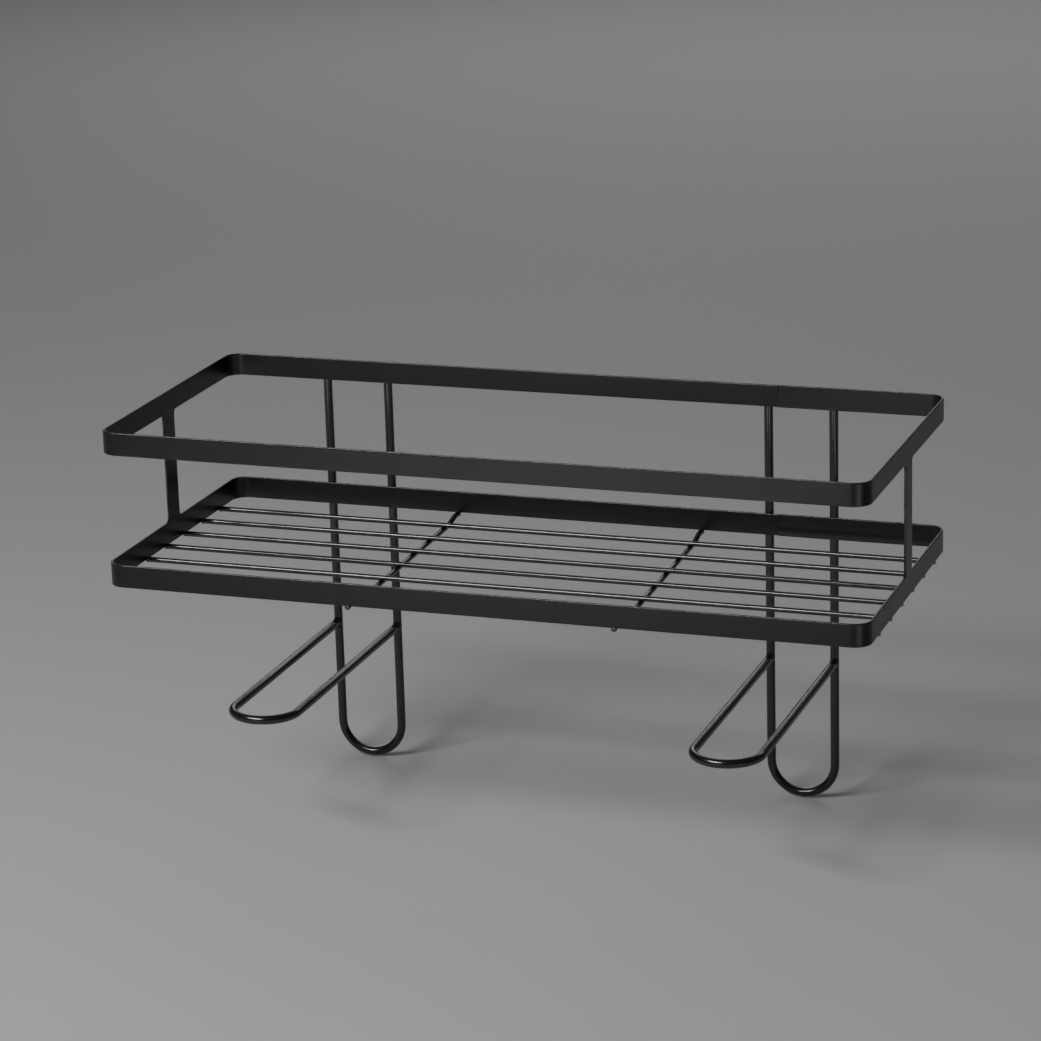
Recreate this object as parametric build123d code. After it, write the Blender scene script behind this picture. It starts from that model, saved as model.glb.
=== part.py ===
from build123d import *
import os

# Over the toilet storage rack: one tray of welded flat strip and wire, carried by two pairs of
# round rods that stand up behind the cistern, with two loops that lie forward on its lid.
# Millimetres. +X to the right, +Y to the wall, +Z up. The origin is the corner that sits over
# the cistern: midway along the rack, in the plane of the hoops' rear faces, which is also where
# the posts' front faces are, and in the plane of the foot loops' undersides.

# Driving dimensions
frame_length = 400.0        # outside of both hoops along X
frame_depth = 168.0         # outside of both hoops along Y
strip_height = 12.0         # flat strip that both hoops are bent from, on edge
strip_thickness = 1.2
corner_radius = 9.0         # outside of a hoop's corner
tray_height = 71.5          # from the lid to the tray rim's bottom edge
rail_gap = 58.0             # open height between the tray rim and the upper rail
upright_width = 13.4        # the two end uprights, of the same thickness as the hoops
rod_diameter = 4.7          # rear posts and foot loops
wire_diameter = 2.8         # tray floor
pair_offset = 124.0         # from the middle of both pairs of posts to the middle of one
pair_shift = -2.0           # both pairs sit this far off the tray's middle
pair_spacing = 35.0         # between the two axes of a pair
post_top_drop = 2.0         # post ends below the upper rail's top edge
tank_reach = 75.0           # how far the posts reach down below the lid's top
foot_front_inset = 7.5      # foot loop's front behind the tray's front
wire_count = 6              # long wires, evenly spaced
wire_let_in = 0.46          # part of a long wire's diameter let into the rim's bottom edge
cross_wire_offset = 69.3    # half the distance between the two cross wires
cross_wire_shift = 0.9      # both cross wires sit this far off the tray's middle
left_cross_turn = 0.6       # degrees that it lies out of square, front end to the right
right_cross_turn = 1.5
cross_end_clear = 0.05      # a cross wire's ends behind the rim's outer faces
cross_end_let_in = 0.28     # part of a cross wire's diameter let into the rim's bottom edge
crossing_let_in = 0.3       # how deep a long wire is pressed into a cross wire
cross_end_flat = 7.0        # straight end of a cross wire, measured from the rim's outside
cross_joggle = 9.0          # run over which a cross wire steps down under the long wires
joggle_radius = 4.0
seam_beside_post = 6.0      # from the right pair's inner post to the butt seam in each hoop
seam_width = 1.2
seam_proud = 0.2
upright_weld_leg = 2.5
post_weld_height = 8.0
post_weld_start = 0.6       # clear of the line where the rod touches the strip
post_weld_reach = 0.9       # beyond the rod's side
foot_weld_reach = 0.9       # beyond the rod all round, at the post
foot_weld_length = 2.4
foot_weld_bite = 0.6        # how far the weld wraps back round the post
wire_weld_reach = 0.35      # beyond a long wire all round, at the strip
cross_weld_reach = 0.5      # the same for a cross wire
wire_weld_length = 0.8
weld_edge = 0.15            # thickness where a weld runs out

# Derived places
rod_radius = rod_diameter / 2
wire_radius = wire_diameter / 2
half_length = frame_length / 2
middle_y = -frame_depth / 2
rim_top = tray_height + strip_height
rail_bottom = rim_top + rail_gap
post_y = rod_radius
post_top = rail_bottom + strip_height - post_top_drop
bend_radius = pair_spacing / 2
foot_front_y = -frame_depth + foot_front_inset + rod_radius
wire_pitch = (frame_depth - 2 * strip_thickness) / (wire_count + 1)
wire_z = tray_height - wire_radius + wire_let_in * wire_diameter
cross_end_z = tray_height - wire_radius + cross_end_let_in * wire_diameter
cross_z = wire_z - wire_diameter + crossing_let_in
stand = Align.CENTER, Align.CENTER, Align.MIN

sides = {"left": -1, "right": 1}


def pair_x(side):
    """Where the middle of a pair is along X."""
    return pair_shift + side * pair_offset


def leg_lines(side):
    """Where the two legs of a pair are along X."""
    return [pair_x(side) - bend_radius, pair_x(side) + bend_radius]


def seam_block(bottom, across):
    """Block that fills a hoop's seam, `across` thick through the strip."""
    seam_x = leg_lines(1)[0] + seam_beside_post
    place = Pos(seam_x, -strip_thickness / 2, bottom)
    return place * Box(seam_width, across, strip_height, align=stand)


def hoop(bottom):
    """Flat strip on edge, bent to a rectangle with round corners and open at its seam."""
    outside = RectangleRounded(frame_length, frame_depth, corner_radius)
    inside = RectangleRounded(
        frame_length - 2 * strip_thickness,
        frame_depth - 2 * strip_thickness,
        corner_radius - strip_thickness,
    )
    ring = Pos(0, middle_y, bottom) * extrude(outside - inside, strip_height)
    return ring - seam_block(bottom, 2 * strip_thickness)


def upright(side):
    """Flat bar that joins the tray rim to the upper rail, in line with the end strips."""
    place = Pos(side * (half_length - strip_thickness / 2), middle_y, rim_top)
    return place * Box(strip_thickness, upright_width, rail_gap, align=stand)


def upright_fillet(side, edge, end):
    """Hollow fillet between an upright's edge and a strip; edge and end are +1 or -1."""
    square = Rectangle(upright_weld_leg, upright_weld_leg, align=(Align.MIN, Align.MIN))
    profile = square - Pos(upright_weld_leg, upright_weld_leg) * Circle(upright_weld_leg)
    corner = Plane(
        origin=(
            side * (half_length - strip_thickness / 2),
            middle_y + edge * upright_width / 2,
            rim_top if end < 0 else rail_bottom,
        ),
        x_dir=(0, edge, 0),
        z_dir=(-edge * end, 0, 0),
    )
    return extrude(corner * profile, strip_thickness / 2, both=True)


def hairpin(ends, bend_ends, bend_middle):
    """Rod bent once into a U: two straight legs and a half-circle."""
    path = Wire([
        Line(ends[0], bend_ends[0]).edge(),
        ThreePointArc(bend_ends[0], bend_middle, bend_ends[1]).edge(),
        Line(bend_ends[1], ends[1]).edge(),
    ])
    section = Plane(origin=ends[0], z_dir=path.tangent_at(0)) * Circle(rod_radius)
    return sweep(section, path=path)


def rear_posts(side):
    """Two rear posts, which are one rod bent round below the lid's level."""
    bend_z = -tank_reach + rod_radius + bend_radius
    return hairpin(
        [(x, post_y, post_top) for x in leg_lines(side)],
        [(x, post_y, bend_z) for x in leg_lines(side)],
        (pair_x(side), post_y, bend_z - bend_radius),
    )


def foot_loop(side):
    """Rod bent round at the front; its two ends are shaped to the posts."""
    bend_y = foot_front_y + bend_radius
    loop = hairpin(
        [(x, post_y - rod_radius / 2, rod_radius) for x in leg_lines(side)],
        [(x, bend_y, rod_radius) for x in leg_lines(side)],
        (pair_x(side), foot_front_y, rod_radius),
    )
    return loop - rear_posts(side)


def long_wire(number):
    """Straight wire along X, let into the rim's bottom edge at both ends."""
    y = -strip_thickness - number * wire_pitch
    start = Pos(-half_length, y, wire_z) * Rot(0, 90, 0)
    return start * Cylinder(wire_radius, frame_length, align=stand)


def cross_place(side):
    """Where a cross wire's middle lies, and its turn."""
    turn = left_cross_turn if side < 0 else right_cross_turn
    return Pos(side * cross_wire_offset + cross_wire_shift, middle_y, 0) * Rot(0, 0, turn)


def cross_wire(side):
    """Wire along Y under the long wires, whose ends step up to the rim's bottom edge."""
    end = frame_depth / 2
    high = end - cross_end_flat
    low = high - cross_joggle
    corners = [
        (0, cross_end_clear - end, cross_end_z),
        (0, -high, cross_end_z),
        (0, -low, cross_z),
        (0, low, cross_z),
        (0, high, cross_end_z),
        (0, end - cross_end_clear, cross_end_z),
    ]
    path = FilletPolyline(*corners, radius=joggle_radius)
    section = Plane(origin=corners[0], z_dir=(0, 1, 0)) * Circle(wire_radius)
    return cross_place(side) * sweep(section, path=path)


def weld_ring(bar_radius, reach, length):
    """Weld round a bar: it stands on XY, widest there, and runs out along +Z."""
    cone = Cone(bar_radius + reach, bar_radius + weld_edge, length, align=stand)
    return cone - Cylinder(bar_radius, length, align=stand)


def post_fillet(x, bottom, edge):
    """Weld in the groove between a post and a rear strip; edge is +1 or -1."""
    groove = Polygon(
        (post_weld_start, 0),
        (rod_radius + post_weld_reach, 0),
        (0.6 * rod_radius, 0.7 * rod_radius),
        align=None,
    )
    groove -= Pos(0, rod_radius) * Circle(rod_radius)
    if edge < 0:
        groove = mirror(groove, about=Plane.YZ)
    start_z = bottom + (strip_height - post_weld_height) / 2
    return Pos(x, 0, start_z) * extrude(groove, post_weld_height)


def foot_weld(side, x):
    """Weld round a foot loop's end, wrapped a little way round its post."""
    ring = weld_ring(rod_radius, foot_weld_reach, foot_weld_length)
    return Pos(x, foot_weld_bite, rod_radius) * Rot(90, 0, 0) * ring - rear_posts(side)


def wire_weld(side, wire_y):
    """Weld round a long wire's end, on the inner face of an end strip."""
    ring = weld_ring(wire_radius, wire_weld_reach, wire_weld_length)
    start_x = side * (half_length - strip_thickness)
    return Pos(start_x, wire_y, wire_z) * Rot(0, -side * 90, 0) * ring


def cross_weld(side, end):
    """Weld round a cross wire's end, on the inner face of the front or rear strip."""
    cone = Cone(
        wire_radius + cross_weld_reach, wire_radius + weld_edge, wire_weld_length, align=stand
    )
    inner_face = cross_place(side) * Pos(0, end * (frame_depth / 2 - strip_thickness), cross_end_z)
    start_y = middle_y + end * (frame_depth / 2 - strip_thickness)
    start = Pos(inner_face.position.X, start_y, cross_end_z)
    return start * Rot(end * 90, 0, 0) * cone - cross_wire(side)


def write(name, *solids):
    shape = solids[0] if len(solids) == 1 else Compound(children=list(solids))
    shape.label = name
    export_step(shape, f"parts/{name}.step")


os.makedirs("parts", exist_ok=True)

long_wires = [long_wire(number) for number in range(1, wire_count + 1)]
cross_wires = {name: cross_wire(side) for name, side in sides.items()}

upper_rail = hoop(rail_bottom)
tray_rim = hoop(tray_height)
for wire in [*long_wires, *cross_wires.values()]:
    tray_rim -= wire
write("upper_rail", upper_rail)
write("tray_rim", tray_rim)
write("upper_rail_seam_weld", seam_block(rail_bottom, strip_thickness + 2 * seam_proud))
write("tray_rim_seam_weld", seam_block(tray_height, strip_thickness + 2 * seam_proud))

for name, side in sides.items():
    write(f"{name}_upright", upright(side))
    write(f"{name}_rear_posts", rear_posts(side))
    write(f"{name}_foot_loop", foot_loop(side))

for number, wire in enumerate(long_wires, 1):
    write(f"tray_wire_{number}", wire)
for name, wire in cross_wires.items():
    for crossed in long_wires:
        wire -= crossed
    write(f"{name}_cross_wire", wire)

ends = (-1, 1)
write(
    "upright_welds",
    *[upright_fillet(side, edge, end) for side in ends for edge in ends for end in ends],
)
write(
    "post_welds",
    *[
        post_fillet(x, bottom, edge)
        for side in ends
        for x in leg_lines(side)
        for bottom in (tray_height, rail_bottom)
        for edge in ends
    ],
)
write("foot_loop_welds", *[foot_weld(side, x) for side in ends for x in leg_lines(side)])
write(
    "tray_wire_welds",
    *[wire_weld(side, wire.center().Y) for wire in long_wires for side in ends],
)
write("cross_wire_welds", *[cross_weld(side, end) for side in ends for end in ends])
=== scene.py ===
"""Over the toilet storage rack in coated strip, rod and wire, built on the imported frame."""

import bpy
import numpy as np
from mathutils import Matrix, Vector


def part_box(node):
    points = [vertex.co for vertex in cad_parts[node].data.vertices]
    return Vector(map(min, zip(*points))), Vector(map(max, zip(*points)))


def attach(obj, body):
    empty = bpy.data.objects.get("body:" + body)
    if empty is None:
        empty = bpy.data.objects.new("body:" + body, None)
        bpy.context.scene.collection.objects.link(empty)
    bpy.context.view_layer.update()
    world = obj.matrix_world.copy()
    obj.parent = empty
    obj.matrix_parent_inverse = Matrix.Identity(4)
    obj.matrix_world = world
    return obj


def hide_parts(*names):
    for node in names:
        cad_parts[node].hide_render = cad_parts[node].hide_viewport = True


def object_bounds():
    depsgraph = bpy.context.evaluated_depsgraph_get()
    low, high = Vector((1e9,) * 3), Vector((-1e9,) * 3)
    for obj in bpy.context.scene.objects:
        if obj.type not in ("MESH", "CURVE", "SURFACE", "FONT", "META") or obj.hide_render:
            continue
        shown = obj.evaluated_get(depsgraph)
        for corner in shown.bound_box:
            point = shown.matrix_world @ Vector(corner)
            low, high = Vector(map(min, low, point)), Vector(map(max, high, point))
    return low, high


bl_info = {
    "name": "Over the toilet storage rack",
    "version": (1, 0, 0),
    "blender": (4, 5, 0),
    "location": "3D View > Sidebar > Rack",
    "description": "Coated strip, rod, wire and weld surfaces of a bathroom rack",
    "category": "Add Mesh",
}

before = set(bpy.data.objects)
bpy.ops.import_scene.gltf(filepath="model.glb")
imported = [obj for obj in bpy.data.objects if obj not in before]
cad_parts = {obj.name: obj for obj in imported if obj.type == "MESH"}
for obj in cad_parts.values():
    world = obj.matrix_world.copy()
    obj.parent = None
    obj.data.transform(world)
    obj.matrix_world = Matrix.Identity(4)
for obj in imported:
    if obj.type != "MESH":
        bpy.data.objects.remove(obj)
CAD_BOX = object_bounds()

STRIP = "strip_powder_coat"
ROD = "rod_powder_coat"
WELD = "weld_powder_coat"

# Least and most roughness and the index of refraction of the coat on each kind of stock.
GLOSS = {STRIP: (0.27, 0.34, 1.45), ROD: (0.19, 0.23, 1.7), WELD: (0.26, 0.36, 1.5)}
# Depth of the slow waves in the coat, metres.
COAT_WAVE = {STRIP: 0.00004, ROD: 0.00001, WELD: 0.00004}
WELD_SINK = 0.0003      # how deep the hidden side of a weld or a bar's end goes into the metal
END_RUN = 0.0006        # length at a strip's end that gets finer steps
LONG_STEP = 0.008       # between stations on a straight run
RIPPLE_PITCH = 0.0012   # between two ripples on a weld bead
FLOOR_GAP = 0.0003      # between the rack's lowest point and the floor
FLOOR_REACH = 8.0       # from the middle of the floor to its edges

SIDES = (("left", -1), ("right", 1))
X, Y, Z = np.eye(3)


def extent(node, axis):
    """A node's size along one axis."""
    low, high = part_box(node)
    return high[axis] - low[axis]


def middle(node):
    """The middle of a node's box."""
    low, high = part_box(node)
    return np.array((low + high) / 2)


# ---------------------------------------------------------------- settings


class RackSizes(bpy.types.PropertyGroup):
    """Sizes of the strip, rod, wire and welds."""

    strip_thickness: bpy.props.FloatProperty(
        name="Strip thickness",
        description="Thickness of the hoops and the uprights",
        default=extent("left_upright", 0),
        unit="LENGTH",
    )
    strip_edge: bpy.props.FloatProperty(
        name="Strip edge radius",
        description="Rounding that the coat leaves on the strip's edges",
        default=0.0005,
        unit="LENGTH",
    )
    corner_radius: bpy.props.FloatProperty(
        name="Corner radius",
        description="Outside radius of the hoops' corners",
        default=0.009,
        unit="LENGTH",
    )
    rod_diameter: bpy.props.FloatProperty(
        name="Rod diameter",
        description="Rear posts and foot loops",
        default=extent("left_rear_posts", 1),
        unit="LENGTH",
    )
    rod_end: bpy.props.FloatProperty(
        name="Rod end radius",
        description="Rounding of the rods' cut ends",
        default=0.0005,
        unit="LENGTH",
    )
    bend_flattening: bpy.props.FloatProperty(
        name="Bend flattening",
        description="Share by which a rod gets thinner across the inside of its bend",
        default=0.03,
        subtype="FACTOR",
    )
    wire_diameter: bpy.props.FloatProperty(
        name="Wire diameter",
        description="Floor wires and cross wires",
        default=extent("tray_wire_1", 1),
        unit="LENGTH",
    )
    wire_end: bpy.props.FloatProperty(
        name="Wire end radius",
        description="Rounding of the wires' ends under the rim",
        default=0.0004,
        unit="LENGTH",
    )
    wire_set_back: bpy.props.FloatProperty(
        name="Wire set-back",
        description="How far a wire's end stops short of the rim's outer face",
        default=0.00008,
        unit="LENGTH",
    )
    cross_flat: bpy.props.FloatProperty(
        name="Cross wire end",
        description="Straight end of a cross wire under the rim",
        default=0.007,
        unit="LENGTH",
    )
    cross_step: bpy.props.FloatProperty(
        name="Cross wire step",
        description="Run over which a cross wire steps down under the long wires",
        default=0.009,
        unit="LENGTH",
    )
    cross_bend: bpy.props.FloatProperty(
        name="Cross wire bend radius",
        description="Radius of the bends in a cross wire's step",
        default=0.004,
        unit="LENGTH",
    )
    cross_clear: bpy.props.FloatProperty(
        name="Cross wire clearance",
        description="How far a cross wire's ends stay behind the rim's outer faces",
        default=0.00008,
        unit="LENGTH",
    )
    seam_lean: bpy.props.FloatProperty(
        name="Seam lean",
        description="Lean of the hoop's two ends where they meet, one forward and one back",
        default=np.radians(3.5),
        unit="ROTATION",
    )
    seam_fade: bpy.props.FloatProperty(
        name="Seam lean run",
        description="Length over which that lean dies out on the long side",
        default=0.30,
        unit="LENGTH",
    )
    weld_ripple: bpy.props.FloatProperty(
        name="Weld ripple",
        description="Height of the ripples on a weld, under the coat",
        default=0.00008,
        unit="LENGTH",
    )


class RackFinish(bpy.types.PropertyGroup):
    """Look of the black powder coat."""

    coat_color: bpy.props.FloatVectorProperty(
        name="Coat colour",
        description="Powder coat on clean flat faces",
        default=(0.0042, 0.0042, 0.0039),
        min=0.0,
        max=1.0,
        subtype="COLOR",
    )
    worn_color: bpy.props.FloatVectorProperty(
        name="Rubbed colour",
        description="Powder coat where edges have been rubbed",
        default=(0.045, 0.045, 0.043),
        min=0.0,
        max=1.0,
        subtype="COLOR",
    )
    dust_color: bpy.props.FloatVectorProperty(
        name="Dust colour",
        description="Fine dust on the faces that look up",
        default=(0.16, 0.155, 0.15),
        min=0.0,
        max=1.0,
        subtype="COLOR",
    )
    dust: bpy.props.FloatProperty(
        name="Dust",
        description="Most dust that a face holds",
        default=0.05,
        min=0.0,
        max=1.0,
        subtype="FACTOR",
    )
    peel_depth: bpy.props.FloatProperty(
        name="Orange peel depth",
        description="Depth of the coat's fine texture",
        default=0.00003,
        unit="LENGTH",
    )


class RackStage(bpy.types.PropertyGroup):
    """Floor, light and camera."""

    floor_color: bpy.props.FloatVectorProperty(
        name="Floor colour",
        description="Plain pale floor",
        default=(0.47, 0.47, 0.46),
        min=0.0,
        max=1.0,
        subtype="COLOR",
    )
    room_color: bpy.props.FloatVectorProperty(
        name="Room colour",
        description="Soft light from all round",
        default=(0.86, 0.87, 0.88),
        min=0.0,
        max=1.0,
        subtype="COLOR",
    )
    room_light: bpy.props.FloatProperty(
        name="Room light",
        description="Strength of the light from all round",
        default=0.08,
        min=0.0,
    )
    key_power: bpy.props.FloatProperty(
        name="Key light",
        description="Power of the long light high in front on the left",
        default=24.0,
        unit="POWER",
    )
    key_place: bpy.props.FloatVectorProperty(
        name="Key light place",
        description="Middle of the key light",
        default=(-0.57, -1.22, 1.16),
        subtype="TRANSLATION",
        unit="LENGTH",
    )
    pool_power: bpy.props.FloatProperty(
        name="Pool light",
        description="Power of each of the two lamps that brighten the floor in front",
        default=500.0,
        unit="POWER",
    )
    pool_place: bpy.props.FloatVectorProperty(
        name="Pool light place",
        description="Where the front one of the two lamps hangs, straight over its pool",
        default=(-0.17, -0.97, 1.7),
        subtype="TRANSLATION",
        unit="LENGTH",
    )
    rim_power: bpy.props.FloatProperty(
        name="Rim light",
        description="Power of the low light behind that picks out the strips' top edges",
        default=3.0,
        unit="POWER",
    )
    back_power: bpy.props.FloatProperty(
        name="Back light",
        description="Power of the wide light over the floor behind",
        default=15.0,
        unit="POWER",
    )
    camera_place: bpy.props.FloatVectorProperty(
        name="Camera place",
        description="Where the camera stands",
        default=(0.59508, -1.76221, 0.63484),
        subtype="TRANSLATION",
        unit="LENGTH",
    )
    camera_azimuth: bpy.props.FloatProperty(
        name="Camera azimuth",
        description="Turn of the view from straight ahead, to the right",
        default=np.radians(19.6424),
        unit="ROTATION",
    )
    camera_elevation: bpy.props.FloatProperty(
        name="Camera elevation",
        description="How steeply the camera looks down",
        default=np.radians(16.8189),
        unit="ROTATION",
    )
    camera_roll: bpy.props.FloatProperty(
        name="Camera roll",
        description="Turn of the picture about the line of sight",
        default=np.radians(-1.7083),
        unit="ROTATION",
    )
    camera_lens: bpy.props.FloatProperty(
        name="Lens",
        description="Focal length on a sensor 36 mm wide",
        default=125.38,
        unit="CAMERA",
    )


def sizes():
    return bpy.context.scene.rack_sizes


# ---------------------------------------------------------------- surfaces


def bent_line(along, start, heading, pieces):
    """Points and headings at distances along a line of straight runs and round bends.

    Each piece is a length and the angle it turns by. A point is the start plus, for every piece,
    the part passed: a run adds that length along its heading, and a bend adds its radius times
    the sine of the angle passed along the heading and times one minus the cosine across it.
    """
    points = np.zeros((len(along), 2)) + start
    headings = np.full(len(along), float(heading))
    passed = 0.0
    for length, turn in pieces:
        done = np.clip(along - passed, 0.0, length)
        ahead = np.array([np.cos(heading), np.sin(heading)])
        across = np.array([-ahead[1], ahead[0]])
        if turn:
            radius = length / turn
            points += np.outer(radius * np.sin(done / radius), ahead)
            points += np.outer(radius * (1 - np.cos(done / radius)), across)
            headings += done / radius
        else:
            points += np.outer(done, ahead)
        heading += turn
        passed += length
    return points, headings


def marks(pieces, step, bend_step, end=0.0):
    """Distances along a bent line: even steps on runs, finer by angle on bends and at the ends."""
    found = []
    passed = 0.0
    for length, turn in pieces:
        count = np.ceil(abs(turn) / bend_step) if turn else np.ceil(length / step)
        found.append(passed + np.linspace(0.0, length, int(count) + 1))
        passed += length
    if end:
        rounding = end * (1 - np.cos(np.linspace(0.0, np.pi / 2, 6)))
        found += [rounding, passed - rounding]
    return np.unique(np.round(np.concatenate(found), 9))


def carry(points, side, up, profile):
    """A profile carried along a path: station plus first number times side plus second times up."""
    profile = np.broadcast_to(profile, (len(points),) + profile.shape[-2:])
    return (
        points[:, None]
        + profile[..., :1] * side[:, None]
        + profile[..., 1:] * up[:, None]
    )


def plane_path(along, origin, first, second, start, heading, pieces):
    """A bent line in the plane of two axes, with its side and up vectors at every station."""
    flat, headings = bent_line(along, start, heading, pieces)
    points = origin + np.outer(flat[:, 0], first) + np.outer(flat[:, 1], second)
    side = np.outer(-np.sin(headings), first) + np.outer(np.cos(headings), second)
    up = np.broadcast_to(np.cross(first, second), points.shape)
    return points, side, up


def round_profile(radius, count):
    """Circle: radius times the cosine and sine of even angles."""
    angles = np.linspace(0.0, 2 * np.pi, count, endpoint=False)
    return radius * np.stack([np.cos(angles), np.sin(angles)], -1)


def strip_profile(thickness, height, edge):
    """Rectangle with quarter-round corners; also 1 on the corners and 0 on the faces.

    A corner's points are its centre plus the edge radius times cosine and sine. One half is the
    face and two corners, and the other half is the same turned half round.
    """
    quarter = np.linspace(0.0, np.pi / 2, 6)
    centre = np.array([thickness / 2 - edge, height / 2 - edge])
    rise = centre[1] - np.array([0.0003, 0.0012])
    rises = np.concatenate([-rise, [0.0], rise[::-1]])
    face = np.stack([np.full(5, thickness / 2), rises], -1)
    upper = centre + edge * np.stack([np.cos(quarter), np.sin(quarter)], -1)
    mirrored = centre * (-1, 1) + edge * np.stack([-np.sin(quarter), np.cos(quarter)], -1)
    half = np.concatenate([face, upper, mirrored])
    rubbed = np.concatenate([np.zeros(5), np.ones(12)])
    return np.concatenate([half, -half]), np.concatenate([rubbed, rubbed])


def shell(grid, rubbed=0.0, closed=False):
    """Closed skin over a grid of stations by points around: points, quads, triangles and rub.

    The ends are closed by a fan to their mean point, or the last station meets the first.
    """
    count, around = grid.shape[:2]
    index = np.arange(count * around).reshape(count, around)
    beside = np.roll(index, -1, 1)
    points = grid.reshape(-1, 3)
    rub = np.broadcast_to(rubbed, (count, around)).reshape(-1).astype(float)
    if closed:
        quads = np.stack([index, beside, np.roll(beside, -1, 0), np.roll(index, -1, 0)], -1)
        triangles = np.zeros((0, 3), int)
    else:
        quads = np.stack([index[:-1], beside[:-1], beside[1:], index[1:]], -1)
        first = np.stack([np.full(around, count * around), beside[0], index[0]], -1)
        last = np.stack([np.full(around, count * around + 1), index[-1], beside[-1]], -1)
        triangles = np.concatenate([first, last])
        points = np.concatenate([points, grid[:1].mean(1), grid[-1:].mean(1)])
        rub = np.append(rub, [0.0, 0.0])
    quads = quads.reshape(-1, 4)
    corners = np.concatenate([quads[:, :3], quads[:, [0, 2, 3]], triangles])
    a, b, c = (points - points.mean(0))[corners].transpose(1, 0, 2)
    if (a * np.cross(b, c)).sum() < 0:
        quads, triangles = quads[:, ::-1], triangles[:, ::-1]
    return points, quads, triangles, rub


def rod_shell(points, side, up, along, radius, end, count, squeeze=None):
    """Round bar along a path; its radius falls over the end rounding as a quarter circle does."""
    reach = np.minimum(along - along[0], along[-1] - along)
    left = np.clip(end - reach, 0.0, end)
    radii = radius - end + np.sqrt(np.maximum(end * end - left * left, 0.0))
    profile = round_profile(1.0, count) * radii[:, None, None]
    if squeeze is not None:
        profile = profile * np.stack([1 - squeeze, np.ones_like(squeeze)], -1)[:, None]
    rubbed = np.broadcast_to((left > 0)[:, None], profile.shape[:2]).astype(float)
    return shell(carry(points, side, up, profile), rubbed)


def ring_shell(origin, axis, first, radius, reach, length, wave, back=0.0001):
    """Weld round a bar: a ring whose height over the bar falls from its reach to nothing.

    At a share t of its length the height is the reach times one minus t to the power 1.6, less
    up to 15 per cent by a half sine of t. Round the bar it swells by sines of 3 and 7 waves.
    """
    turn = np.linspace(0.0, 2 * np.pi, 40, endpoint=False)
    share = np.linspace(0.0, 1.0, 9)
    swell = 1 + 0.10 * np.sin(3 * turn + wave) + 0.06 * np.sin(7 * turn + 2.3 * wave)
    height = reach * np.outer(swell, (1 - share) ** 1.6 * (1 - 0.15 * np.sin(np.pi * share)))
    outer = np.stack([np.broadcast_to(share * length, height.shape), radius + height], -1)
    under = np.array([[length, radius - 0.0002], [-back, radius - 0.0002], [-back, radius]])
    under = np.broadcast_to(under, (len(turn), 3, 2)).copy()
    under[:, 2, 1] = radius + height[:, 0]
    section = np.concatenate([outer, under], 1)
    second = np.cross(axis, first)
    spoke = np.outer(np.cos(turn), first) + np.outer(np.sin(turn), second)
    grid = origin + section[..., :1] * axis + section[..., 1:] * spoke[:, None]
    return shell(grid, 0.0, closed=True)


def bead_shell(start, end, side, up, half_width, half_height, ripple, wave):
    """Weld bead along a straight line: an ellipse carried from start to end.

    Its size is 0.03 plus 0.97 times the square root of one less the seventh power of the distance
    from the middle, as a share of half the length. A sine of the distance along it adds ripples.
    """
    share = (1 - np.cos(np.linspace(0.0, np.pi, 41))) / 2
    length = np.linalg.norm(end - start)
    cap = np.sqrt(np.clip(1 - np.abs(2 * share - 1) ** 7, 0.0, 1.0)) * 0.97 + 0.03
    ripples = ripple * np.sin(share * length / RIPPLE_PITCH * 2 * np.pi + wave)
    points = start + np.outer(share, end - start)
    profile = round_profile(1.0, 20) * (half_width, half_height)
    profile = profile * (cap * (1 + ripples / half_height))[:, None, None]
    side = np.broadcast_to(side, points.shape)
    up = np.broadcast_to(up, points.shape)
    return shell(carry(points, side, up, profile))


def cross_heading(node, diameter):
    """Direction of a cross wire: straight back, turned so that its box has the node's width.

    The sine of the turn is the box's width less the wire's diameter, over the box's depth.
    """
    sine = (extent(node, 0) - diameter) / extent(node, 1)
    return Y * np.sqrt(1 - sine * sine) - X * sine


def add_piece(name, shells, nodes, slot):
    """One mesh object of closed shells, on the frame, in place of its nodes."""
    counts = np.cumsum([0] + [len(part[0]) for part in shells[:-1]])
    points = np.concatenate([part[0] for part in shells])
    quads = np.concatenate([part[1] + shift for part, shift in zip(shells, counts)])
    triangles = np.concatenate([part[2] + shift for part, shift in zip(shells, counts)])
    rub = np.concatenate([part[3] for part in shells])
    mesh = bpy.data.meshes.new(name)
    mesh.from_pydata(points.tolist(), [], quads.tolist() + triangles.tolist())
    mesh.polygons.foreach_set("use_smooth", np.ones(len(mesh.polygons), bool))
    mesh.attributes.new("rub", "FLOAT", "POINT").data.foreach_set("value", rub)
    mesh.update()
    obj = bpy.data.objects.new(name, mesh)
    bpy.context.scene.collection.objects.link(obj)
    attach(obj, "root")
    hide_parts(*nodes)
    obj.data.materials.append(coat_material(slot))
    return obj


# ---------------------------------------------------------------- materials


class Nodes:
    """Short way to add and join shader nodes."""

    def __init__(self, material):
        material.use_nodes = True
        self.tree = material.node_tree
        self.tree.nodes.clear()

    def add(self, kind, inputs=(), **fields):
        node = self.tree.nodes.new("ShaderNode" + kind)
        for field, value in fields.items():
            setattr(node, field, value)
        for socket, value in dict(inputs).items():
            if isinstance(value, bpy.types.NodeSocket):
                self.tree.links.new(value, node.inputs[socket])
            else:
                node.inputs[socket].default_value = value
        return node

    def blend(self, share, first, second):
        """Colour that goes from the first to the second with the share."""
        return self.add("Mix", {0: share, 6: first, 7: second}, data_type="RGBA").outputs[2]


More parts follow.
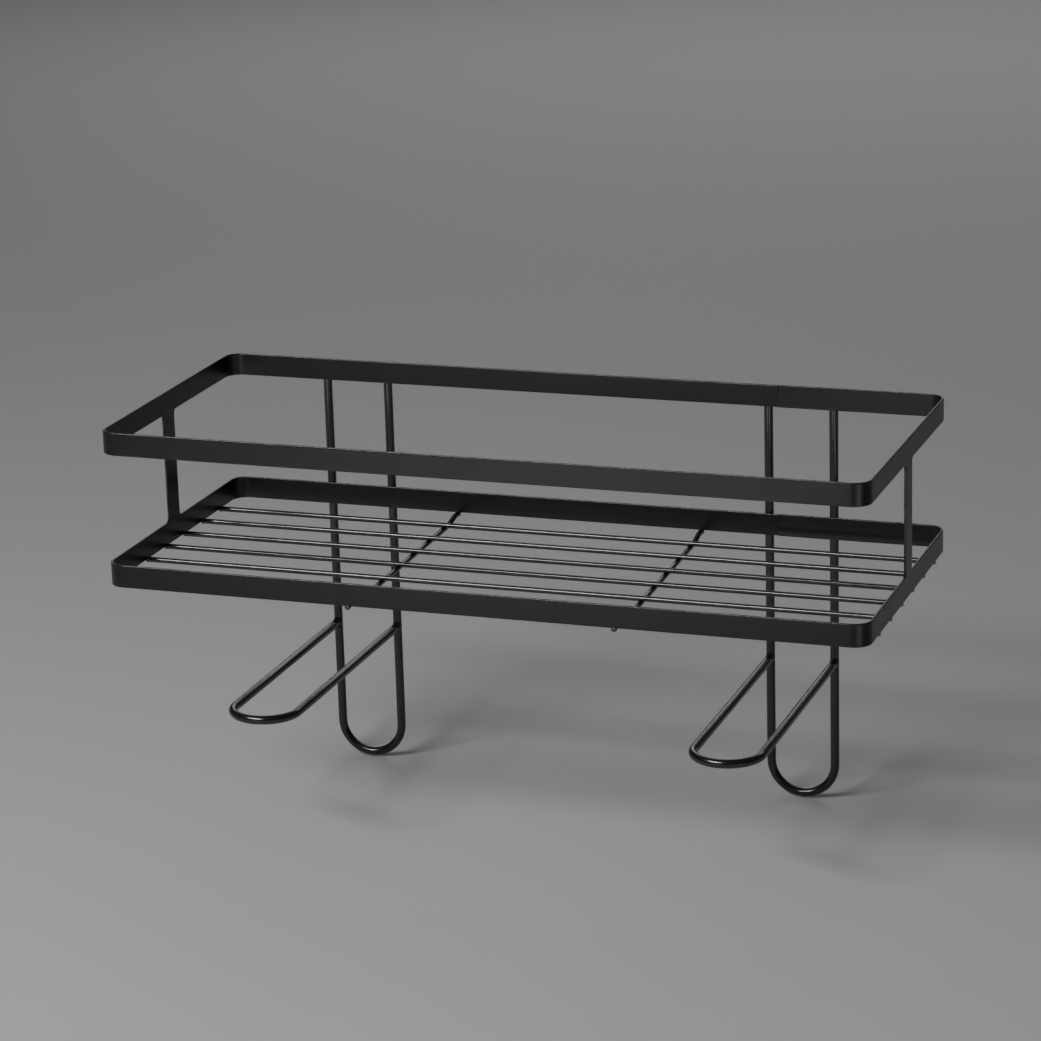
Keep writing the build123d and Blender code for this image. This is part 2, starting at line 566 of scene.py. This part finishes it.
def coat_material(slot):
    """Black powder coat: near-black satin, orange peel, faint cloud, rubbed edges and dust."""
    finish = bpy.context.scene.rack_finish
    name = "Black " + slot.replace("_", " ")
    if name in bpy.data.materials:
        return bpy.data.materials[name]
    material = bpy.data.materials.new(name)
    nodes = Nodes(material)
    place = nodes.add("TexCoord").outputs["Object"]
    cloud = nodes.add("TexNoise", {"Vector": place, "Scale": 55.0, "Detail": 3.0}).outputs[0]
    speck = nodes.add("TexNoise", {"Vector": place, "Scale": 900.0, "Detail": 2.0}).outputs[0]
    patch = nodes.add("TexNoise", {"Vector": place, "Scale": 260.0, "Detail": 4.0}).outputs[0]

    rub = nodes.add("Attribute", attribute_name="rub").outputs["Fac"]
    patchy = nodes.add(
        "MapRange", {"Value": patch, "From Min": 0.42, "From Max": 0.62, "To Max": 0.8}
    ).outputs[0]
    rubbed = nodes.add("Math", {0: rub, 1: patchy}, operation="MULTIPLY").outputs[0]

    facing = nodes.add("SeparateXYZ", {0: nodes.add("NewGeometry").outputs["Normal"]}).outputs[2]
    upward = nodes.add(
        "MapRange", {"Value": facing, "From Min": 0.55, "From Max": 1.0, "To Max": finish.dust}
    ).outputs[0]
    dusty = nodes.add("Math", {0: upward, 1: speck}, operation="MULTIPLY").outputs[0]

    deep, light = (tuple(c * share for c in finish.coat_color) + (1,) for share in (0.8, 1.25))
    colour = nodes.blend(cloud, deep, light)
    colour = nodes.blend(rubbed, colour, tuple(finish.worn_color) + (1,))
    colour = nodes.blend(dusty, colour, tuple(finish.dust_color) + (1,))

    low, high, ior = GLOSS[slot]
    rough = nodes.add("MapRange", {"Value": cloud, "To Min": low, "To Max": high}).outputs[0]
    polish = nodes.add("Math", {0: rub, 1: -0.12}, operation="MULTIPLY").outputs[0]
    rough = nodes.add("Math", {0: polish, 1: rough}, operation="ADD").outputs[0]
    rough = nodes.add("Math", {0: dusty, 1: 0.9, 2: rough}, operation="MULTIPLY_ADD").outputs[0]

    peel = nodes.add("Bump", {"Height": speck, "Strength": 1.0, "Distance": finish.peel_depth})
    wave = nodes.add("TexNoise", {"Vector": place, "Scale": 90.0, "Detail": 1.0}).outputs[0]
    swell = nodes.add(
        "Bump",
        {
            "Height": wave,
            "Strength": 1.0,
            "Distance": COAT_WAVE[slot],
            "Normal": peel.outputs[0],
        },
    )
    shader = nodes.add(
        "BsdfPrincipled",
        {
            "Base Color": colour,
            "Roughness": rough,
            "Normal": swell.outputs[0],
            "IOR": ior,
        },
    )
    nodes.add("OutputMaterial", {0: shader.outputs[0]})
    return material


# ---------------------------------------------------------------- pieces


class RACK_OT_hoops(bpy.types.Operator):
    """Upper rail and tray rim: strip on edge, bent round a rectangle from seam to seam."""

    bl_idname = "rack.hoops"
    bl_label = "Hoops"

    def execute(self, context):
        s = sizes()
        for node, name in (("upper_rail", "upper_rail_strip"), ("tray_rim", "tray_rim_strip")):
            low, high = (np.array(corner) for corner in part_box(node))
            seam_low, seam_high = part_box(node + "_seam_weld")
            inset = s.strip_thickness / 2
            radius = s.corner_radius - inset
            bend = (radius * np.pi / 2, np.pi / 2)
            width = high[0] - low[0] - 2 * s.corner_radius
            depth = high[1] - low[1] - 2 * s.corner_radius
            start_x = (seam_low.x + seam_high.x) / 2
            to_left = start_x - low[0] - s.corner_radius
            to_right = high[0] - s.corner_radius - start_x
            pieces = [
                (to_left, 0), bend, (depth, 0), bend, (width, 0), bend, (depth, 0), bend,
                (to_right, 0),
            ]
            along = marks(pieces, LONG_STEP, np.radians(7), END_RUN)
            origin = np.array([0.0, 0.0, (low[2] + high[2]) / 2])
            start = (start_x, high[1] - inset)
            points, side, up = plane_path(along, origin, X, Y, start, np.pi, pieces)
            profile, rubbed = strip_profile(s.strip_thickness, high[2] - low[2], s.strip_edge)
            # Lean about the strip's own line: the angle times one minus the square of the share
            # of the run passed. On the short side the run is what is left up to the corner.
            passed = np.stack([along / s.seam_fade, (along[-1] - along) / to_right])
            before, after = 1 - np.clip(passed, 0.0, 1.0) ** 2
            lean = s.seam_lean * (before - after)
            top = np.cos(lean)[:, None] * up + np.sin(lean)[:, None] * side
            flat = np.cos(lean)[:, None] * side - np.sin(lean)[:, None] * up
            grid = carry(points, flat, top, profile)
            grid[..., 2] = np.clip(grid[..., 2], low[2], high[2])
            add_piece(name, [shell(grid, rubbed)], [node], STRIP)
        return {"FINISHED"}


class RACK_OT_uprights(bpy.types.Operator):
    """Left and right uprights: short flat bars between the hoops."""

    bl_idname = "rack.uprights"
    bl_label = "Uprights"

    def execute(self, context):
        s = sizes()
        for name, _ in SIDES:
            low, high = (np.array(corner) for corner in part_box(name + "_upright"))
            length = high[2] - low[2] + 2 * WELD_SINK
            along = low[2] - WELD_SINK + marks([(length, 0)], 0.006, 1.0, END_RUN)
            points = middle(name + "_upright") * (1, 1, 0) + np.outer(along, Z)
            profile, rubbed = strip_profile(s.strip_thickness, high[1] - low[1], s.strip_edge)
            side, up = np.broadcast_to(X, points.shape), np.broadcast_to(Y, points.shape)
            grid = carry(points, side, up, profile)
            add_piece(name + "_upright_bar", [shell(grid, rubbed)], [name + "_upright"], STRIP)
        return {"FINISHED"}


class RACK_OT_rear_posts(bpy.types.Operator):
    """Rear posts: each pair one rod, down, half round and up again."""

    bl_idname = "rack.rear_posts"
    bl_label = "Rear posts"

    def execute(self, context):
        s = sizes()
        for name, _ in SIDES:
            low, high = (np.array(corner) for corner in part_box(name + "_rear_posts"))
            radius = s.rod_diameter / 2
            bend = (high[0] - low[0]) / 2 - radius
            run = high[2] - low[2] - radius - bend
            pieces = [(run, 0), (bend * np.pi, np.pi), (run, 0)]
            along = marks(pieces, LONG_STEP, np.radians(5), s.rod_end)
            origin = np.array([low[0] + radius, (low[1] + high[1]) / 2, high[2]])
            points, side, up = plane_path(along, origin, X, Z, (0, 0), -np.pi / 2, pieces)
            turned = np.clip((along - run) / (bend * np.pi), 0.0, 1.0)
            squeeze = s.bend_flattening * np.sin(np.pi * turned)
            rod = rod_shell(points, side, up, along, radius, s.rod_end, 32, squeeze)
            add_piece(name + "_post_rod", [rod], [name + "_rear_posts"], ROD)
        return {"FINISHED"}


class RACK_OT_foot_loops(bpy.types.Operator):
    """Foot loops: rod from one post forward, half round at the front and back to the other."""

    bl_idname = "rack.foot_loops"
    bl_label = "Foot loops"

    def execute(self, context):
        s = sizes()
        for name, _ in SIDES:
            low, high = (np.array(corner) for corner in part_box(name + "_foot_loop"))
            radius = s.rod_diameter / 2
            bend = (high[0] - low[0]) / 2 - radius
            run = high[1] - low[1] - radius - bend
            pieces = [(run, 0), (bend * np.pi, np.pi), (run, 0)]
            along = marks(pieces, LONG_STEP, np.radians(5))
            origin = np.array([low[0] + radius, high[1], (low[2] + high[2]) / 2])
            points, side, up = plane_path(along, origin, X, Y, (0, 0), -np.pi / 2, pieces)
            turned = np.clip((along - run) / (bend * np.pi), 0.0, 1.0)
            squeeze = s.bend_flattening * np.sin(np.pi * turned)
            rod = rod_shell(points, side, up, along, radius, 0.00005, 32, squeeze)
            add_piece(name + "_foot_rod", [rod], [name + "_foot_loop"], ROD)
        return {"FINISHED"}


class RACK_OT_floor_wires(bpy.types.Operator):
    """Six long floor wires, their ends sunk in the rim's bottom edge."""

    bl_idname = "rack.floor_wires"
    bl_label = "Floor wires"

    def execute(self, context):
        s = sizes()
        for node in sorted(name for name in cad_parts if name.startswith("tray_wire_")):
            if node.endswith("welds"):
                continue
            low, high = (np.array(corner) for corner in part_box(node))
            length = high[0] - low[0] - 2 * s.wire_set_back
            pieces = [(length, 0)]
            along = marks(pieces, LONG_STEP, 1.0, s.wire_end)
            origin = middle(node) * (0, 1, 1) + X * (low[0] + s.wire_set_back)
            points, side, up = plane_path(along, origin, X, Y, (0, 0), 0.0, pieces)
            wire = rod_shell(points, side, up, along, s.wire_diameter / 2, s.wire_end, 20)
            add_piece(node.replace("tray", "floor"), [wire], [node], ROD)
        return {"FINISHED"}


class RACK_OT_cross_wires(bpy.types.Operator):
    """Two cross wires under the long ones, stepped up at both ends to the rim."""

    bl_idname = "rack.cross_wires"
    bl_label = "Cross wires"

    def execute(self, context):
        s = sizes()
        for name, _ in SIDES:
            low, high = (np.array(corner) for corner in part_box(name + "_cross_wire"))
            radius = s.wire_diameter / 2
            forward = cross_heading(name + "_cross_wire", s.wire_diameter)
            reach = extent("tray_rim", 1) / 2 - s.cross_clear
            drop = high[2] - low[2] - s.wire_diameter
            angle = np.arctan2(drop, s.cross_step)
            ease = s.cross_bend * np.tan(angle / 2)
            down = (s.cross_bend * angle, -angle)
            rise = (s.cross_bend * angle, angle)
            slope = (s.cross_step / np.cos(angle) - 2 * ease, 0)
            end = (s.cross_flat - ease - s.cross_clear, 0)
            floor = (2 * (reach + s.cross_clear - s.cross_flat - s.cross_step - ease), 0)
            pieces = [end, down, slope, rise, floor, rise, slope, down, end]
            along = marks(pieces, LONG_STEP, np.radians(3), s.wire_end)
            origin = middle(name + "_cross_wire") * (1, 1, 0)
            start = (-reach, high[2] - radius)
            points, side, up = plane_path(along, origin, forward, Z, start, 0.0, pieces)
            wire = rod_shell(points, side, up, along, radius, s.wire_end, 20)
            add_piece(name + "_cross_rod", [wire], [name + "_cross_wire"], ROD)
        return {"FINISHED"}


class RACK_OT_seam_welds(bpy.types.Operator):
    """Butt welds in the hoops' rear runs, standing a little proud of both faces."""

    bl_idname = "rack.seam_welds"
    bl_label = "Seam welds"

    def execute(self, context):
        s = sizes()
        for node in ("upper_rail_seam_weld", "tray_rim_seam_weld"):
            low, high = (np.array(corner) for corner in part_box(node))
            at = middle(node)
            bead = bead_shell(
                at * (1, 1, 0) + Z * (low[2] + 0.00005),
                at * (1, 1, 0) + Z * (high[2] - 0.00005),
                X, Y,
                (high[0] - low[0]) / 2, (high[1] - low[1]) / 2 - s.weld_ripple,
                s.weld_ripple, 0.7,
            )
            add_piece(node.replace("weld", "bead"), [bead], [node], WELD)
        return {"FINISHED"}


class RACK_OT_upright_welds(bpy.types.Operator):
    """Hollow fillets where the uprights meet the hoops."""

    bl_idname = "rack.upright_welds"
    bl_label = "Upright welds"

    def execute(self, context):
        s = sizes()
        low, high = (np.array(corner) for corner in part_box("left_upright"))
        weld_low, weld_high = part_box("upright_welds")
        leg = (weld_high.y - weld_low.y - (high[1] - low[1])) / 2
        swing = np.linspace(0.0, np.pi / 2, 13)
        half, edge = s.strip_thickness / 2 - 0.00004, s.strip_edge
        quarter = np.linspace(0.0, np.pi / 2, 5)
        # Surface line of the fillet: a quarter circle hollowed towards the corner.
        flat = np.stack([leg * (1 - np.sin(swing)), leg * (1 - np.cos(swing))], -1)
        deep = np.minimum(flat[:, 0], flat[:, 1]) + WELD_SINK
        outward = np.stack([np.sin(swing), np.cos(swing)], -1)
        across = np.concatenate([-half + edge * (1 - np.cos(quarter)), [0.0],
                                 half - edge * (1 - np.cos(quarter[::-1])), [half, -half]])
        sink = np.concatenate([edge * (1 - np.sin(quarter)), [0.0],
                               edge * (1 - np.sin(quarter[::-1])), [1.0, 1.0]])
        inner = sink == 1.0
        depth = np.where(inner, deep[:, None] + edge, np.broadcast_to(sink, (13, len(sink))))
        shells = []
        for _, side in SIDES:
            x = side * abs(middle("left_upright")[0])
            for edge_y, y in ((-1, low[1]), (1, high[1])):
                for end_z, z in ((1, low[2]), (-1, high[2])):
                    away = flat[:, None] - outward[:, None] * depth[..., None]
                    grid = np.stack([
                        np.broadcast_to(x + across, depth.shape),
                        y + edge_y * away[..., 0],
                        z + end_z * away[..., 1],
                    ], -1)
                    shells.append(shell(grid, 0.3))
        add_piece("upright_fillets", shells, ["upright_welds"], WELD)
        return {"FINISHED"}


class RACK_OT_post_welds(bpy.types.Operator):
    """Beads in the grooves between the posts and the hoops' rear faces."""

    bl_idname = "rack.post_welds"
    bl_label = "Post welds"

    def execute(self, context):
        s = sizes()
        radius = s.rod_diameter / 2
        half_length, half_width, half_height = 0.004, 0.0008, 0.00062
        overlap, behind_strip = 0.0001, 0.0004
        shells = []
        for name, _ in SIDES:
            low, high = (np.array(corner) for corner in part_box(name + "_rear_posts"))
            for x in (low[0] + radius, high[0] - radius):
                for hoop in ("tray_rim", "upper_rail"):
                    z = middle(hoop)[2]
                    for edge in (-1, 1):
                        base = np.array([x + edge * (radius - overlap), behind_strip, z])
                        wave = 40 * x + 3 * edge + 9 * z
                        shells.append(bead_shell(
                            base - half_length * Z, base + half_length * Z, X, Y,
                            half_width, half_height, s.weld_ripple, wave,
                        ))
        add_piece("post_beads", shells, ["post_welds"], WELD)
        return {"FINISHED"}


class RACK_OT_foot_welds(bpy.types.Operator):
    """Welds round the foot loops' ends, saddled on the posts."""

    bl_idname = "rack.foot_welds"
    bl_label = "Foot welds"

    def execute(self, context):
        s = sizes()
        radius = s.rod_diameter / 2
        turn = np.linspace(0.0, 2 * np.pi, 48, endpoint=False)
        share = np.linspace(0.0, 1.0, 11)
        # Reach at the sides of the loop, what the top and bottom add, and how far forward it runs.
        least, more, run_out = 0.00012, 0.00078, 0.0017
        shells = []
        for name, _ in SIDES:
            low, high = (np.array(corner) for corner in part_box(name + "_foot_loop"))
            for x in (low[0] + radius, high[0] - radius):
                # Toe on the post: where a point at this angle meets the post's round face. The
                # height over the loop falls as one minus the share along it to the power 1.5.
                swell = 1 + 0.09 * np.sin(5 * turn + 60 * x) + 0.05 * np.sin(11 * turn)
                reach = (least + more * np.abs(np.sin(turn)) ** 1.2) * swell
                wide = np.minimum(np.abs((radius + reach) * np.cos(turn)), radius * 0.93)
                toe = radius - np.sqrt(radius ** 2 - wide ** 2)
                height = np.outer(reach, (1 - share) ** 1.5)
                y = toe[:, None] - share * (toe[:, None] + run_out)
                inner = np.full((len(turn), 2), radius - WELD_SINK)
                ring = np.concatenate([radius + height, inner], 1)
                back = np.stack([y[:, -1], toe + 0.0002], -1)
                depth = np.concatenate([y, back], 1)
                grid = np.stack([
                    x + ring * np.cos(turn)[:, None],
                    depth,
                    middle(name + "_foot_loop")[2] + ring * np.sin(turn)[:, None],
                ], -1)
                shells.append(shell(grid, 0.0, closed=True))
        add_piece("foot_loop_beads", shells, ["foot_loop_welds"], WELD)
        return {"FINISHED"}


class RACK_OT_wire_welds(bpy.types.Operator):
    """Rings of flash round the wires' ends, on the rim's inner faces."""

    bl_idname = "rack.wire_welds"
    bl_label = "Wire welds"

    def execute(self, context):
        s = sizes()
        radius = s.wire_diameter / 2
        low, high = (np.array(corner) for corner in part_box("tray_rim"))
        ends = []
        for node in sorted(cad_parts):
            if node.startswith("tray_wire_") and not node.endswith("welds"):
                at = middle(node)
                for side, x in ((-1, low[0]), (1, high[0])):
                    origin = np.array([x - side * s.strip_thickness, at[1], at[2]])
                    ends.append((origin, -side * X))
        rings = [
            ring_shell(at, axis, Z, radius, 0.00018, 0.0006, 9 * at[1] / 0.01 + axis[0])
            for at, axis in ends
        ]
        add_piece("floor_wire_beads", rings, ["tray_wire_welds"], WELD)
        rings = []
        for name, _ in SIDES:
            wire_low, wire_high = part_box(name + "_cross_wire")
            z = wire_high.z - radius
            reach = (high[1] - low[1]) / 2 - s.strip_thickness
            forward = cross_heading(name + "_cross_wire", s.wire_diameter)
            for side in (-1, 1):
                at = middle(name + "_cross_wire") * (1, 1, 0) + Z * z + side * reach * forward
                wave = at[0] * 50 + side
                rings.append(ring_shell(at, -side * Y, Z, radius, 0.0002, 0.0006, wave))
        add_piece("cross_wire_beads", rings, ["cross_wire_welds"], WELD)
        return {"FINISHED"}


# ---------------------------------------------------------------- stage


LIGHT_AIM = (0.0, -0.08, 0.08)      # the middle of the tray
KEY_SIZE = (0.9, 0.22)
BACK_PLACE = (0.0, 2.9, 1.9)
BACK_AIM = (0.0, 2.4, 0.0)          # the floor behind the rack
BACK_SIZE = (3.0, 0.9)
RIM_PLACE = (-0.9, 2.6, 1.0)
RIM_SIZE = (1.4, 0.4)
SIDE_POOL_PLACE = (0.62, -0.62, 1.3)
FRONT_CONE = np.radians(26.0)
SIDE_CONE = np.radians(20.0)


class RACK_OT_stage(bpy.types.Operator):
    """Plain pale floor, soft light from all round, lights and the camera."""

    bl_idname = "rack.stage"
    bl_label = "Stage"

    def execute(self, context):
        stage = context.scene.rack_stage
        span = np.linspace(-FLOOR_REACH, FLOOR_REACH, 9)
        across, depth = np.meshgrid(span, span, indexing="ij")
        level = CAD_BOX[0].z - FLOOR_GAP
        points = np.stack([across, depth, np.full_like(across, level)], -1).reshape(-1, 3)
        index = np.arange(span.size ** 2).reshape(span.size, span.size)
        quads = np.stack([index[:-1, :-1], index[1:, :-1], index[1:, 1:], index[:-1, 1:]], -1)
        mesh = bpy.data.meshes.new("floor")
        mesh.from_pydata(points.tolist(), [], quads.reshape(-1, 4).tolist())
        mesh.update()
        floor = bpy.data.objects.new("floor", mesh)
        context.scene.collection.objects.link(floor)
        mesh.materials.append(self.floor_material(stage))

        world = bpy.data.worlds.new("room")
        context.scene.world = world
        world.use_nodes = True
        background = world.node_tree.nodes["Background"]
        background.inputs["Color"].default_value = tuple(stage.room_color) + (1,)
        background.inputs["Strength"].default_value = stage.room_light

        key_place = tuple(stage.key_place)
        self.add_area("key_light", key_place, LIGHT_AIM, stage.key_power, KEY_SIZE)
        self.add_area("back_light", BACK_PLACE, BACK_AIM, stage.back_power, BACK_SIZE)
        self.add_area("rim_light", RIM_PLACE, LIGHT_AIM, stage.rim_power, RIM_SIZE)
        self.add_pool("front_pool", stage.pool_place, stage.pool_power, FRONT_CONE)
        self.add_pool("side_pool", SIDE_POOL_PLACE, stage.pool_power, SIDE_CONE)
        self.add_camera(context, stage)
        return {"FINISHED"}

    def floor_material(self, stage):
        """Matt pale floor with a faint grain."""
        material = bpy.data.materials.new("Pale floor")
        nodes = Nodes(material)
        place = nodes.add("TexCoord").outputs["Object"]
        grain = nodes.add("TexNoise", {"Vector": place, "Scale": 400.0}).outputs[0]
        bump = nodes.add("Bump", {"Height": grain, "Strength": 0.3, "Distance": 0.00005})
        shader = nodes.add(
            "BsdfPrincipled",
            {
                "Base Color": tuple(stage.floor_color) + (1,),
                "Roughness": 0.85,
                "Normal": bump.outputs[0],
            },
        )
        nodes.add("OutputMaterial", {0: shader.outputs[0]})
        return material

    def add_pool(self, name, place, power, cone):
        """Soft-edged lamp that hangs over the floor and points straight down."""
        pool = bpy.data.lights.new(name, "SPOT")
        pool.energy = power
        pool.spot_size = cone
        pool.spot_blend = 1.0
        pool.shadow_soft_size = 0.05
        lamp = bpy.data.objects.new(name, pool)
        lamp.location = place
        bpy.context.scene.collection.objects.link(lamp)

    def add_area(self, name, place, aim, power, size):
        """Rectangular area light that faces its aim."""
        light = bpy.data.lights.new(name, "AREA")
        light.energy = power
        light.shape = "RECTANGLE"
        light.size, light.size_y = size
        back = np.array(place) - aim
        back = back / np.linalg.norm(back)
        right = np.cross(Z, back)
        right = right / np.linalg.norm(right)
        rows = np.stack([right, np.cross(back, right), back], 1)
        obj = bpy.data.objects.new(name, light)
        obj.matrix_world = Matrix.Translation(place) @ Matrix(rows.tolist()).to_4x4()
        bpy.context.scene.collection.objects.link(obj)

    def add_camera(self, context, stage):
        """Camera that looks along its azimuth and down by its elevation, turned by its roll."""
        azimuth, elevation, roll = (
            stage.camera_azimuth, stage.camera_elevation, stage.camera_roll,
        )
        ahead = np.array([
            -np.sin(azimuth) * np.cos(elevation),
            np.cos(azimuth) * np.cos(elevation),
            -np.sin(elevation),
        ])
        level = np.array([np.cos(azimuth), np.sin(azimuth), 0.0])
        above = np.cross(level, ahead)
        right = level * np.cos(roll) + above * np.sin(roll)
        up = above * np.cos(roll) - level * np.sin(roll)
        rows = np.stack([right, up, -ahead], 1)
        camera = bpy.data.cameras.new("camera")
        camera.sensor_width = 36.0
        camera.lens = stage.camera_lens
        camera.clip_start, camera.clip_end = 0.05, 60.0
        obj = bpy.data.objects.new("camera", camera)
        place = Matrix.Translation(tuple(stage.camera_place))
        obj.matrix_world = place @ Matrix(rows.tolist()).to_4x4()
        context.scene.collection.objects.link(obj)
        context.scene.camera = obj


PIECES = (
    RACK_OT_hoops,
    RACK_OT_uprights,
    RACK_OT_rear_posts,
    RACK_OT_foot_loops,
    RACK_OT_floor_wires,
    RACK_OT_cross_wires,
    RACK_OT_seam_welds,
    RACK_OT_upright_welds,
    RACK_OT_post_welds,
    RACK_OT_foot_welds,
    RACK_OT_wire_welds,
    RACK_OT_stage,
)


class RACK_PT_panel(bpy.types.Panel):
    """Sidebar list of the rack's pieces and settings."""

    bl_idname = "RACK_PT_panel"
    bl_label = "Storage rack"
    bl_space_type = "VIEW_3D"
    bl_region_type = "UI"
    bl_category = "Rack"

    def draw(self, context):
        for group in ("rack_sizes", "rack_finish", "rack_stage"):
            settings = getattr(context.scene, group)
            box = self.layout.box()
            for field in settings.bl_rna.properties.keys():
                if field not in ("rna_type", "name"):
                    box.prop(settings, field)
        for piece in PIECES:
            self.layout.operator(piece.bl_idname)


CLASSES = (RackSizes, RackFinish, RackStage, *PIECES, RACK_PT_panel)


def register():
    for item in CLASSES:
        bpy.utils.register_class(item)
    bpy.types.Scene.rack_sizes = bpy.props.PointerProperty(type=RackSizes)
    bpy.types.Scene.rack_finish = bpy.props.PointerProperty(type=RackFinish)
    bpy.types.Scene.rack_stage = bpy.props.PointerProperty(type=RackStage)


def unregister():
    del bpy.types.Scene.rack_sizes
    del bpy.types.Scene.rack_finish
    del bpy.types.Scene.rack_stage
    for item in reversed(CLASSES):
        bpy.utils.unregister_class(item)


def main():
    register()
    for piece in PIECES:
        group, name = piece.bl_idname.split(".")
        getattr(getattr(bpy.ops, group), name)()
    bpy.context.view_layer.update()


if __name__ == "__main__":
    main()
